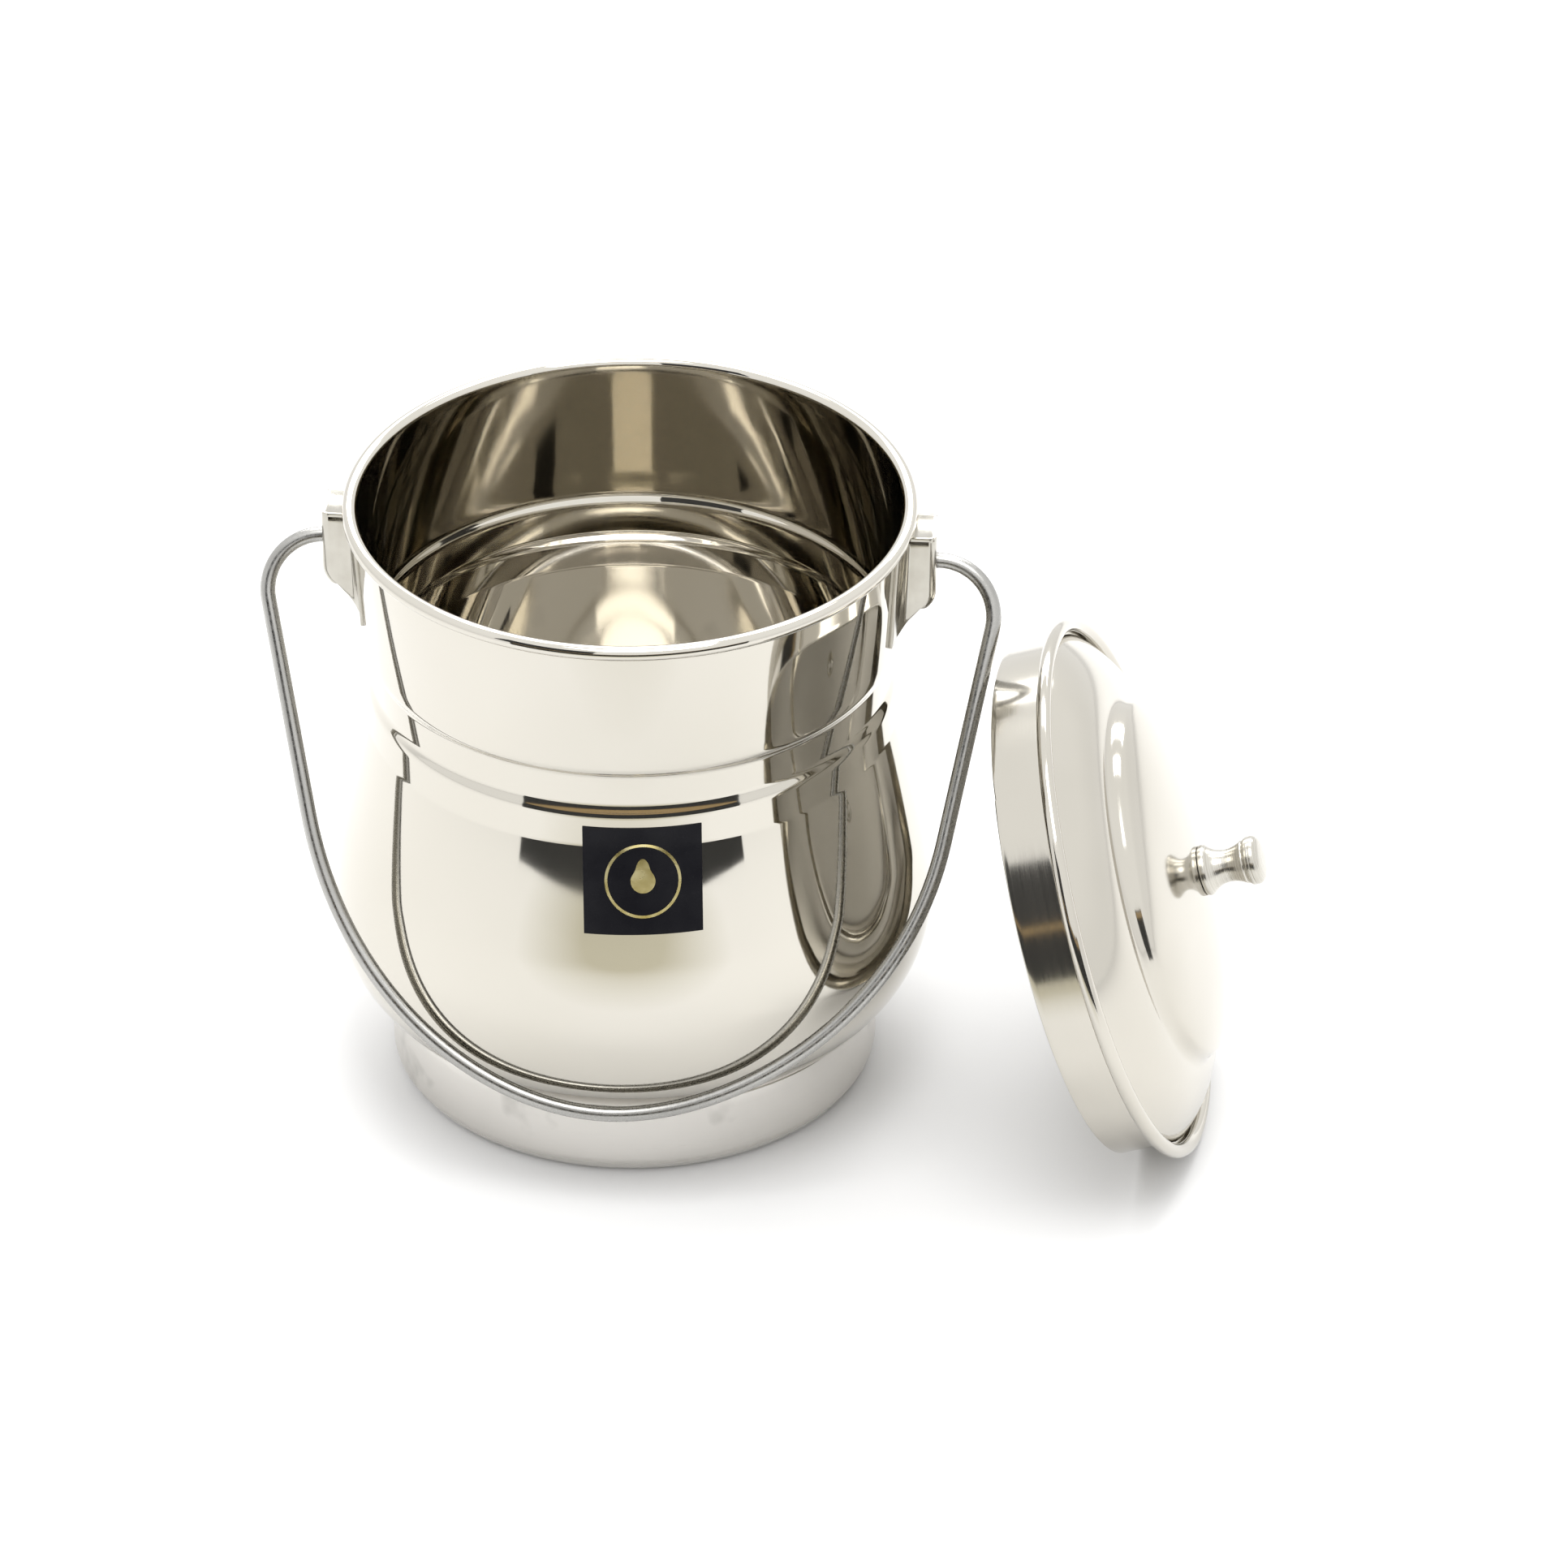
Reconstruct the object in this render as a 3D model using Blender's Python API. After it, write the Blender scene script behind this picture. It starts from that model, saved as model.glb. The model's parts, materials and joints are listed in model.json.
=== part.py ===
"""Stainless steel milk can with a wire bail, and its lid standing on edge beside it.

Metres, +Z up. The origin is the centre of the foot's underside, X runs along the bail's
pivot axis and -Y is the front. Sizes below are in millimetres and are scaled by MM.
"""

import math

import bmesh
import bpy
from mathutils import Vector

MM = 0.001
TURN_STEPS = 48  # facets round every large turned piece
SMALL_TURN_STEPS = 20  # facets round the knob and its screw
BAR_STEPS = 16  # facets round a hole for the wire
MERGE = 1e-6  # metres
FIT_GAP = 0.3  # left between pieces that touch or are welded
CUT_SPARE = 1.0  # how far a cutter runs past the piece it cuts

# Sheet and wire
SHEET = 0.7
BRACKET_SHEET = 0.9
WIRE_RADIUS = 1.9

# Can body: outer radii and heights
RIM_TOP = 158.5
RIM_RADIUS = 70.0
ROLL_RADIUS = 1.8
NECK_FOOT_RADIUS, NECK_FOOT = 65.0, 122.5
STEP_DEPTH, STEP_RUN = 0.2, 1.6  # the soft start of the step in the neck
BAND_RADIUS, BAND_TOP, BAND_FOOT = 63.8, 118.6, 109.6
GROOVE_DEPTH, GROOVE_RUN = 0.3, 2.0
CONE_TOP_RADIUS, CONE_TOP = 64.0, 106.0
SHOULDER_RADIUS, SHOULDER = 72.9, 66.0
BELLY_PULL = ((77.0, 46.4), (75.7, 33.1))  # the two inner points of the belly's curve
SEAM_RADIUS, SEAM = 60.3, 20.6

# Foot cup
FOOT_CORNER = 5.3

# Ears and bail
PIVOT_HEIGHT = 144.7
EAR_REACH = 75.0  # outer face of an ear, from the can's axis
EAR_HALF_WIDTH = 6.0
EAR_FOOT, EAR_TOP = 134.3, 154.2
EAR_BEND = 1.6
WING_ANGLE = math.radians(11.0)
WING_DROP = 7.5  # how far an ear's wings reach below its box
EAR_HOLE_RADIUS = 2.25
CAP_START = 69.0  # where the folded top begins, from the can's axis
CAP_SETBACK = 0.1  # of the folded top, below the box's upper edge
SLIT_START, SLIT_END, SLIT_HEIGHT = 68.6, 73.2, 0.9  # open edge under the folded top
BAIL_HANG = math.radians(31.2)  # from straight down, towards the front
BAIL_STUB_END = 71.6
BAIL_DROP = 138.3
BAIL_BOW_PULL = 30.8

# Each arm of the bail: half span and radius of its bend, slope of its straight part, the drop
# where that part ends, and how far it pulls the bow. The right arm is sprung a little wider.
RIGHT_ARM = (75.5, 13.7, math.radians(10.3), 68.7, 44.4)
LEFT_ARM = (74.9, 13.4, math.radians(12.9), 67.9, 45.7)

# Label on the front of the belly
LABEL_WIDTH, LABEL_TOP, LABEL_FOOT = 29.0, 105.2, 78.2
LABEL_TURN = math.radians(7.6)
LABEL_THICKNESS = 0.3
LABEL_COLUMNS, LABEL_ROWS = 6, 2

# Lid, in its own frame: +Z is the side of the knob, 0 is the middle of its rolled edge
LID_RADIUS = 67.8
DOME_APEX = 20.1
DOME_PULL = ((18.0, 20.1), (37.5, 17.4))
DOME_EDGE = (43.6, 13.4)
ANNULUS_TOP = (46.4, 9.6)
ANNULUS_PULL = ((52.5, 8.4), (59.0, 4.8))
ANNULUS_FOOT = (63.8, -1.1)
SKIRT_RADIUS, SKIRT_TOP, SKIRT_FOOT = 63.7, -2.2, -13.8
SKIRT_LAP_AT = math.radians(217.0)  # middle of the lap, from the lid's own +X
SKIRT_LAP = math.radians(6.0)
SKIRT_JOGGLE = math.radians(15.0)  # over which the inner end steps out to the full radius
LID_TILT = math.radians(17.8)  # its knob points this far above the floor
LID_TURN = math.radians(-1.35)
LID_PLACE = (123.1, -19.4)
LID_FLOOR_GAP = 0.1

# Knob and its screw. The outline is radius and height above the knob's foot.
KNOB_HEAD = [(0.0, 15.0), (3.6, 15.0), (5.4, 14.2), (6.1, 12.4), (6.1, 11.2), (5.5, 10.2)]
KNOB_WAIST = [(5.2, 9.0), (4.3, 7.0), (4.0, 5.0), (4.4, 2.8)]
KNOB_FLANGE = [(6.3, 0.9), (6.3, 0.0)]
KNOB_BORE_RADIUS, KNOB_BORE_DEPTH = 2.1, 8.0
SCREW_RADIUS, SCREW_END_GAP = 1.8, 1.0
SCREW_HEAD_RADIUS, SCREW_HEAD, SCREW_HEAD_BEVEL = 3.6, 1.8, 0.8
SCREW_HOLE_RADIUS = 2.3


def clear_scene():
    for obj in list(bpy.data.objects):
        bpy.data.objects.remove(obj, do_unlink=True)


def finish(name, colour, roughness, metallic=1.0):
    """The material of one sub-part."""
    material = bpy.data.materials.new(name)
    material.use_nodes = True
    shader = material.node_tree.nodes["Principled BSDF"]
    shader.inputs["Base Color"].default_value = (*colour, 1.0)
    shader.inputs["Roughness"].default_value = roughness
    shader.inputs["Metallic"].default_value = metallic
    return material


def arc(centre, radius, start, end, steps):
    """Points round a centre, with angles in degrees from the outward direction."""
    points = []
    for i in range(steps + 1):
        angle = math.radians(start + (end - start) * i / steps)
        points.append(
            (centre[0] + radius * math.cos(angle), centre[1] + radius * math.sin(angle))
        )
    return points


def bezier(start, pull_start, pull_end, end, steps):
    """Points along a cubic curve, both ends included."""
    points = []
    for i in range(steps + 1):
        t = i / steps
        weights = ((1 - t) ** 3, 3 * t * (1 - t) ** 2, 3 * t * t * (1 - t), t**3)
        corners = (start, pull_start, pull_end, end)
        points.append(
            tuple(sum(w * c[k] for w, c in zip(weights, corners)) for k in range(2))
        )
    return points


def inset(points, distance=SHEET / 2):
    """Outer-surface points moved straight in, to the middle of the sheet."""
    return [(radius - distance, height) for radius, height in points]


def new_object(name, mesh, material, parent=None):
    obj = bpy.data.objects.new(name, mesh)
    obj.data.materials.append(material)
    obj.parent = parent
    bpy.context.scene.collection.objects.link(obj)
    return obj


def turned(name, profile, material, steps, parent=None):
    """A piece turned about Z from an open (radius, height) profile in millimetres."""
    mesh = bpy.data.meshes.new(name)
    corners = [(radius * MM, 0.0, height * MM) for radius, height in profile]
    edges = [(i, i + 1) for i in range(len(corners) - 1)]
    mesh.from_pydata(corners, edges, [])
    obj = new_object(name, mesh, material, parent)
    screw = obj.modifiers.new("Turn", "SCREW")
    screw.axis = "Z"
    screw.angle = math.tau
    screw.steps = steps
    screw.render_steps = steps
    screw.use_merge_vertices = True
    screw.merge_threshold = MERGE
    return obj


def sheet_turned(name, profile, material, parent=None):
    """A turned sheet: the profile is the middle of its thickness."""
    obj = turned(name, profile, material, TURN_STEPS, parent)
    solid = obj.modifiers.new("Thickness", "SOLIDIFY")
    solid.thickness = SHEET * MM
    solid.offset = 0.0
    solid.use_even_offset = True


def box_cutter(name, low, high):
    """A hidden box between two corners in millimetres, for a Boolean."""
    bm = bmesh.new()
    bmesh.ops.create_cube(bm, size=1.0)
    size = [high[k] - low[k] for k in range(3)]
    centre = [(high[k] + low[k]) / 2 for k in range(3)]
    for vertex in bm.verts:
        vertex.co = Vector([(vertex.co[k] * size[k] + centre[k]) * MM for k in range(3)])
    return hidden_cutter(name, bm)


def round_cutter(name, radius, length, centre, along):
    """A hidden cylinder, lying along an axis, for a Boolean."""
    bm = bmesh.new()
    bmesh.ops.create_cone(
        bm,
        cap_ends=True,
        segments=BAR_STEPS,
        radius1=radius * MM,
        radius2=radius * MM,
        depth=length * MM,
        matrix=Vector(along).to_track_quat("Z", "Y").to_matrix().to_4x4(),
    )
    bmesh.ops.translate(bm, vec=Vector(centre) * MM, verts=bm.verts)
    return hidden_cutter(name, bm)


def mesh_from(name, bm):
    mesh = bpy.data.meshes.new(name)
    bm.to_mesh(mesh)
    bm.free()
    return mesh


def hidden_cutter(name, bm):
    cutter = bpy.data.objects.new(name, mesh_from(name, bm))
    cutter.hide_render = True
    cutter.display_type = "WIRE"
    bpy.context.scene.collection.objects.link(cutter)
    return cutter


def boolean(obj, other, operation):
    modifier = obj.modifiers.new(f"{operation.title()} {other.name}", "BOOLEAN")
    modifier.operation = operation
    modifier.object = other


def shell_profile():
    """Middle of the body sheet, from the seam above the foot up to the rim's curl."""
    belly = bezier(
        (SEAM_RADIUS, SEAM), BELLY_PULL[1], BELLY_PULL[0], (SHOULDER_RADIUS, SHOULDER), 8
    )
    band = [
        (CONE_TOP_RADIUS, CONE_TOP),
        (BAND_RADIUS - GROOVE_DEPTH, CONE_TOP + GROOVE_RUN),
        (BAND_RADIUS, BAND_FOOT),
        (BAND_RADIUS, BAND_TOP),
        (NECK_FOOT_RADIUS - STEP_DEPTH, BAND_TOP + STEP_RUN),
        (NECK_FOOT_RADIUS, NECK_FOOT),
    ]
    roll_centre = (RIM_RADIUS - ROLL_RADIUS, RIM_TOP - ROLL_RADIUS)
    curl = arc(roll_centre, ROLL_RADIUS - SHEET / 2, 180.0, -80.0, 8)
    return inset(belly + band) + curl


def make_body_shell(material):
    """The body: a belly, a cone, a grooved band, a step and a neck with a rolled rim."""
    sheet_turned("body_shell", shell_profile(), material)


def make_foot_cup(material):
    """The foot: a flat bottom, a rounded corner and a short wall up to the seam."""
    corner_centre = (SEAM_RADIUS - FOOT_CORNER, FOOT_CORNER)
    corner = arc(corner_centre, FOOT_CORNER - SHEET / 2, -90.0, 0.0, 4)
    wall_top = (SEAM_RADIUS - SHEET / 2, SEAM - SHEET / 2 - 2 * FIT_GAP)
    bottom = [(0.0, SHEET / 2), (SEAM_RADIUS / 2, SHEET / 2)]
    sheet_turned("foot_cup", bottom + corner + [wall_top], material)


def neck_radius(height):
    """Outer radius of the neck's straight wall."""
    wall_top = RIM_RADIUS - 2 * ROLL_RADIUS + SHEET
    run = (height - NECK_FOOT) / (RIM_TOP - ROLL_RADIUS - NECK_FOOT)
    return NECK_FOOT_RADIUS + (wall_top - NECK_FOOT_RADIUS) * run


def ear_path():
    """Middle of the bracket's sheet in plan, for the ear on the +X side."""
    wing_radius = neck_radius(EAR_TOP) + FIT_GAP + BRACKET_SHEET / 2
    half = EAR_HALF_WIDTH - BRACKET_SHEET / 2
    flange_angle = math.asin((half + EAR_BEND) / wing_radius)
    wing = [
        (wing_radius * math.cos(a), wing_radius * math.sin(a))
        for a in (WING_ANGLE, (WING_ANGLE + flange_angle) / 2, flange_angle)
    ]
    face = EAR_REACH - BRACKET_SHEET / 2
    bend = arc((face - EAR_BEND, half - EAR_BEND), EAR_BEND, 90.0, 0.0, 4)
    side = wing + [(wing_radius + EAR_BEND, half)] + bend
    return side + [(x, -y) for x, y in reversed(side)]


def upright_strip(path, thickness, foot, top):
    """A bmesh of a strip that stands on edge, with its middle along an open path in plan."""
    bm = bmesh.new()
    rows = []
    for i, point in enumerate(path):
        before = Vector(path[max(i - 1, 0)])
        after = Vector(path[min(i + 1, len(path) - 1)])
        along = (after - before).normalized()
        aside = Vector((-along.y, along.x)) * thickness / 2
        sides = (Vector(point) + aside, Vector(point) - aside)
        rows.append([bm.verts.new((p.x * MM, p.y * MM, foot * MM)) for p in sides])
    for (a, b), (c, d) in zip(rows, rows[1:]):
        bm.faces.new((a, c, d, b))
    grown = bmesh.ops.extrude_face_region(bm, geom=bm.faces[:], use_keep_orig=True)["geom"]
    raised = [item for item in grown if isinstance(item, bmesh.types.BMVert)]
    bmesh.ops.translate(bm, vec=(0, 0, (top - foot) * MM), verts=raised)
    bmesh.ops.recalc_face_normals(bm, faces=bm.faces)
    return bm


def make_ear(name, turn, material):
    """A folded bracket: two wings on the neck, a box that stands off it and a closed top."""
    bm = upright_strip(ear_path(), BRACKET_SHEET, EAR_FOOT, EAR_TOP)
    lean = (neck_radius(EAR_TOP) - neck_radius(EAR_FOOT - WING_DROP)) * MM
    wing_limit = (neck_radius(EAR_TOP) + 2 * BRACKET_SHEET) * MM
    for vertex in bm.verts:
        if vertex.co.xy.length < wing_limit and vertex.co.z < EAR_TOP * MM - MERGE:
            vertex.co.x -= lean
            vertex.co.z -= WING_DROP * MM
    bmesh.ops.triangulate(bm, faces=bm.faces)
    ear = new_object(name, mesh_from(name, bm), material)
    inner = EAR_HALF_WIDTH - BRACKET_SHEET / 2
    fold_foot = EAR_TOP - BRACKET_SHEET
    fold = box_cutter(
        f"{name}_fold",
        (CAP_START, -inner, fold_foot),
        (EAR_REACH - BRACKET_SHEET / 2, inner, EAR_TOP - CAP_SETBACK),
    )
    boolean(ear, fold, "UNION")
    slit = box_cutter(
        f"{name}_slit",
        (SLIT_START, -EAR_HALF_WIDTH - CUT_SPARE, fold_foot - SLIT_HEIGHT),
        (SLIT_END, EAR_HALF_WIDTH + CUT_SPARE, fold_foot),
    )
    boolean(ear, slit, "DIFFERENCE")
    hole_length = 2 * (BRACKET_SHEET + CUT_SPARE)
    hole_centre = (EAR_REACH, 0, PIVOT_HEIGHT)
    hole = round_cutter(f"{name}_hole", EAR_HOLE_RADIUS, hole_length, hole_centre, (1, 0, 0))
    boolean(ear, hole, "DIFFERENCE")
    for piece in (ear, *(modifier.object for modifier in ear.modifiers)):
        piece.rotation_euler.z = turn


def bail_arm(half_span, radius, slope, arm_end, pull):
    """One arm's middle line as (half span, drop), from its end in the ear to the bow's middle."""
    bend = arc((half_span, radius), radius, -90.0, math.degrees(slope), 8)
    along = Vector((-math.sin(slope), math.cos(slope)))
    foot = Vector(bend[-1]) + along * (arm_end - bend[-1][1]) / math.cos(slope)
    bow_end = (0.0, BAIL_DROP)
    bow = bezier(tuple(foot), tuple(foot + along * pull), (BAIL_BOW_PULL, BAIL_DROP), bow_end, 12)
    return [(BAIL_STUB_END, 0.0)] + bend + bow


def make_bail(material):
    pivot = bpy.data.objects.new("bail_pivot", None)
    pivot.location.z = PIVOT_HEIGHT * MM
    pivot.rotation_euler.x = -BAIL_HANG
    bpy.context.scene.collection.objects.link(pivot)
    left = [(-span, drop) for span, drop in bail_arm(*LEFT_ARM)]
    line = bail_arm(*RIGHT_ARM) + left[-2::-1]
    curve = bpy.data.curves.new("bail_wire", "CURVE")
    curve.dimensions = "3D"
    curve.bevel_depth = WIRE_RADIUS * MM
    curve.bevel_resolution = 3
    curve.use_fill_caps = True
    spline = curve.splines.new("POLY")
    spline.points.add(len(line) - 1)
    for point, (span, drop) in zip(spline.points, line):
        point.co = (span * MM, 0.0, -drop * MM, 1.0)
    new_object("bail_wire", curve, material, pivot)


def make_label(material):
    """A thin square plate that follows the belly's cone."""
    slope = (SHOULDER_RADIUS - CONE_TOP_RADIUS) / (CONE_TOP - SHOULDER)
    bm = bmesh.new()
    bmesh.ops.create_grid(bm, x_segments=LABEL_COLUMNS, y_segments=LABEL_ROWS, size=0.5)
    for vertex in bm.verts:
        height = LABEL_FOOT + (vertex.co.y + 0.5) * (LABEL_TOP - LABEL_FOOT)
        outside = CONE_TOP_RADIUS + slope * (CONE_TOP - height)
        radius = outside + FIT_GAP + LABEL_THICKNESS / 2
        angle = LABEL_TURN + vertex.co.x * LABEL_WIDTH / radius
        place = Vector((radius * math.sin(angle), -radius * math.cos(angle), height))
        vertex.co = place * MM
    label = new_object("front_label", mesh_from("front_label", bm), material)
    solid = label.modifiers.new("Thickness", "SOLIDIFY")
    solid.thickness = LABEL_THICKNESS * MM
    solid.offset = 0.0


def make_lid_place():
    """The empty that stands the lid on its skirt's edge. Its +Z is the lid's axis."""
    place = bpy.data.objects.new("lid_place", None)
    skirt_reach = SKIRT_RADIUS * math.cos(LID_TILT) - SKIRT_FOOT * math.sin(LID_TILT)
    height = skirt_reach + LID_FLOOR_GAP
    place.location = Vector((*LID_PLACE, height)) * MM
    place.rotation_euler = (0.0, math.pi / 2 - LID_TILT, LID_TURN)
    bpy.context.scene.collection.objects.link(place)
    return place


def make_lid_shell(material, parent):
    """A raised dome, a step, a lower ring and an edge rolled over on the knob's side."""
    hole_edge = (SCREW_HOLE_RADIUS, DOME_APEX)
    dome = bezier((0.0, DOME_APEX), *DOME_PULL, DOME_EDGE, 7)
    annulus = bezier(ANNULUS_TOP, *ANNULUS_PULL, ANNULUS_FOOT, 6)
    outer = [hole_edge] + dome[1:] + annulus
    middle = [(radius, height - SHEET / 2) for radius, height in outer]
    roll_centre = (LID_RADIUS - ROLL_RADIUS, 0.0)
    roll = arc(roll_centre, ROLL_RADIUS - SHEET / 2, -90.0, 180.0, 8)
    sheet_turned("lid_shell", middle + roll, material, parent)


def make_lid_skirt(material, parent):
    """A flat strip rolled into a ring, with its outer end lapped over the inner one."""
    path = []
    for i in range(TURN_STEPS + 1):
        swept = (math.tau + SKIRT_LAP) * i / TURN_STEPS
        angle = SKIRT_LAP_AT + SKIRT_LAP / 2 - swept
        joggled = min(1.0, max(0.0, (swept - SKIRT_LAP) / SKIRT_JOGGLE))
        radius = SKIRT_RADIUS - SHEET / 2 - (SHEET + FIT_GAP) * (1.0 - joggled)
        path.append((radius * math.cos(angle), radius * math.sin(angle)))
    bm = upright_strip(path, SHEET, SKIRT_FOOT, SKIRT_TOP)
    mesh = mesh_from("lid_skirt", bm)
    mesh.shade_smooth()
    mesh.set_sharp_from_angle(angle=math.radians(40.0))
    new_object("lid_skirt", mesh, material, parent)


def make_knob(material, parent):
    """A turned knob with a flange, a waist and a head, bored for its screw."""
    bore = [
        (KNOB_BORE_RADIUS, 0.0),
        (KNOB_BORE_RADIUS, KNOB_BORE_DEPTH),
        (0.0, KNOB_BORE_DEPTH),
    ]
    foot = DOME_APEX + FIT_GAP
    outline = KNOB_HEAD + KNOB_WAIST + KNOB_FLANGE + bore
    profile = [(radius, height + foot) for radius, height in outline]
    turned("lid_knob", profile, material, SMALL_TURN_STEPS, parent)


def make_knob_screw(material, parent):
    """A pan-head screw from inside the lid, up into the knob."""
    tip = DOME_APEX + FIT_GAP + KNOB_BORE_DEPTH - SCREW_END_GAP
    under = DOME_APEX - SHEET - FIT_GAP
    head_foot = under - SCREW_HEAD
    profile = [
        (0.0, tip),
        (SCREW_RADIUS, tip),
        (SCREW_RADIUS, under),
        (SCREW_HEAD_RADIUS, under),
        (SCREW_HEAD_RADIUS, head_foot + SCREW_HEAD_BEVEL),
        (SCREW_HEAD_RADIUS - SCREW_HEAD_BEVEL, head_foot),
        (0.0, head_foot),
    ]
    turned("knob_screw", profile, material, SMALL_TURN_STEPS, parent)


def main():
    clear_scene()
    make_body_shell(finish("polished_steel", (0.80, 0.78, 0.74), 0.06))
    make_foot_cup(finish("satin_steel", (0.66, 0.64, 0.60), 0.35))
    ear_colour = (0.76, 0.74, 0.68)
    make_ear("right_ear", 0.0, finish("right_ear_steel", ear_colour, 0.15))
    make_ear("left_ear", math.pi, finish("left_ear_steel", ear_colour, 0.15))
    make_bail(finish("drawn_wire", (0.50, 0.50, 0.49), 0.32))
    make_label(finish("label_black", (0.01, 0.01, 0.01), 0.25, metallic=0.0))
    place = make_lid_place()
    make_lid_shell(finish("lid_polish", (0.80, 0.78, 0.74), 0.10), place)
    make_lid_skirt(finish("skirt_polish", (0.80, 0.78, 0.74), 0.08), place)
    make_knob(finish("turned_steel", (0.74, 0.72, 0.68), 0.22), place)
    make_knob_screw(finish("screw_steel", (0.60, 0.60, 0.58), 0.3), place)


main()
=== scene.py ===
"""The looks of the milk can: mirror-polished sheet, a satin foot, a drawn wire bail, a lid.

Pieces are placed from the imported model. Shapes are in millimetres of the design, and MM turns
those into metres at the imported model's own size.
"""

import json
import math

import bmesh
import bpy
import numpy as np
from mathutils import Matrix, Vector


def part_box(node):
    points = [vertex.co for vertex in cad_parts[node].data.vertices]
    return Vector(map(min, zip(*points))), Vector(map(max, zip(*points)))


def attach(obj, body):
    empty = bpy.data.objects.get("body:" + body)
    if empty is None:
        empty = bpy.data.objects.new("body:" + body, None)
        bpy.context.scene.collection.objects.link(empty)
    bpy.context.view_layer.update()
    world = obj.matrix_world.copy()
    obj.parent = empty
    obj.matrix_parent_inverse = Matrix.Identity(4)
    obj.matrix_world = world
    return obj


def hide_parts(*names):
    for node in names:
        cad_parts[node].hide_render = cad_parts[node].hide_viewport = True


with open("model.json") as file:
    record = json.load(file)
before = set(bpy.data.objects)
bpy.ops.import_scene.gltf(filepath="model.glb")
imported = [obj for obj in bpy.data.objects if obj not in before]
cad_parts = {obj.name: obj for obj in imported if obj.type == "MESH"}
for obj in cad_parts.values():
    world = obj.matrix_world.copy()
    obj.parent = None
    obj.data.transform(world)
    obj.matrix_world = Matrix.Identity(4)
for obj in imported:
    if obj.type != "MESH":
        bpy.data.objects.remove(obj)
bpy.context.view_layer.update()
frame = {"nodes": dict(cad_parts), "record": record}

# Driving sizes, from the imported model
DESIGN_RIM_TOP = 158.5
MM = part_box("body_shell")[1].z / DESIGN_RIM_TOP
PIVOT = Vector(next(j["pos_m"] for j in frame["record"]["behaviour"]["joints"] if "pos_m" in j))

TURN_STEPS = 216  # facets round the can and the lid
KNOB_STEPS = 96  # facets round the knob and its screw
SHEET = 0.7  # thickness of the can's and the lid's sheet

# Outer side of the can's wall as (radius, height), from the foot's seam to the rim
BELLY_FOOT, BELLY_PULL = (60.3, 20.7), ((75.7, 33.1), (76.3, 46.4))
BAND_TOP = (63.75, 118.2)
STEP = (BAND_TOP, (63.85, 119.7), (64.75, 119.7), (65.0, 122.0))

# Between the belly and the step the wall is given by its lean: height, and degrees inward
LEANS = (
    (66.0, 9.5),
    (70.0, 12.0),
    (92.0, 12.8),
    (99.6, 13.6),
    (100.5, 6.0),
    (107.2, 5.0),
    (108.0, 14.0),
    (108.8, 24.0),
    (109.8, 22.0),
    (110.6, 10.0),
    (111.3, -1.0),
    (118.2, -1.0),
)
GROOVE_FROM = 98.5  # above this height the wall keeps all its points, because it turns sharply
RIM_RADIUS, ROLL_RADIUS = 70.0, 1.8
ROLL_START, ROLL_END = 180.0, -115.0  # degrees round the rim's roll

# Foot
FOOT_RADIUS, FOOT_CORNER, FOOT_TOP = 60.3, 5.3, 20.35

# Ears
EAR_FOOT, EAR_TOP, EAR_REACH, EAR_HALF_WIDTH = 134.3, 154.2, 75.0, 6.0
EAR_SHEET, EAR_BEND = 0.9, 1.6
EAR_EDGE = 0.22  # rounding of the cut edges
ROOT_START = 200.0  # degrees round the bend between a wing and a side, where it leaves the wing
WING_ANGLE, WING_DROP = math.radians(11.0), 7.5
EAR_TUCK, EAR_TUCK_HEIGHT = 1.6, 4.0  # how the foot of an ear's face turns in
FOLD_INNER = 67.6  # how far in the folded top reaches
SLIT_INNER, SLIT_OUTER = 68.6, 73.2  # the slit under the folded top
PIVOT_PLAY = 0.25  # gap round the wire in its hole

# Bail: each arm has its bend's half span and radius, the slope of its straight part in degrees,
# the drop where that part ends and how far it pulls the bow. The right arm is sprung wider.
WIRE_RADIUS = 1.9
BAIL_STUB_END, BAIL_DROP, BAIL_BOW_PULL = 71.6, 138.3, 30.8
RIGHT_ARM = (75.5, 13.7, 10.3, 68.7, 44.4)
LEFT_ARM = (74.9, 13.4, 12.9, 67.9, 45.7)

# Lid, along its own axis from the middle of its rolled edge
LID_RADIUS = 67.8
LID_ROLL_START, LID_ROLL_END = -75.0, 185.0  # degrees round its roll
LID_HOLE = 2.3  # radius of the screw's hole
DOME = ((0.0, 20.1), (18.0, 20.1), (37.5, 17.4), (43.6, 13.4))
LID_STEP = ((43.6, 13.4), (44.9, 12.4), (44.6, 10.4), (46.8, 9.5))
ANNULUS = ((46.8, 9.5), (52.5, 8.4), (59.0, 4.8), (63.8, -1.1))
SKIRT_RADIUS, SKIRT_TOP, SKIRT_FOOT = 63.7, -2.2, -13.8
SKIRT_TUCK = 0.5  # how much higher the skirt is drawn, up to the sheet it is welded to
SKIRT_LAP_AT, SKIRT_LAP = math.radians(217.0), math.radians(6.0)
SKIRT_JOGGLE = math.radians(5.0)  # how far round the inner end takes to step out past the lap
SKIRT_LAP_GAP = 0.05
KNOB_ZERO = 0.25  # height of the knob's own zero above the dome
KNOB_BORE, KNOB_BORE_TOP = 2.1, 8.0
SCREW_GAP = 0.02  # between the screw's head and the lid

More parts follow.
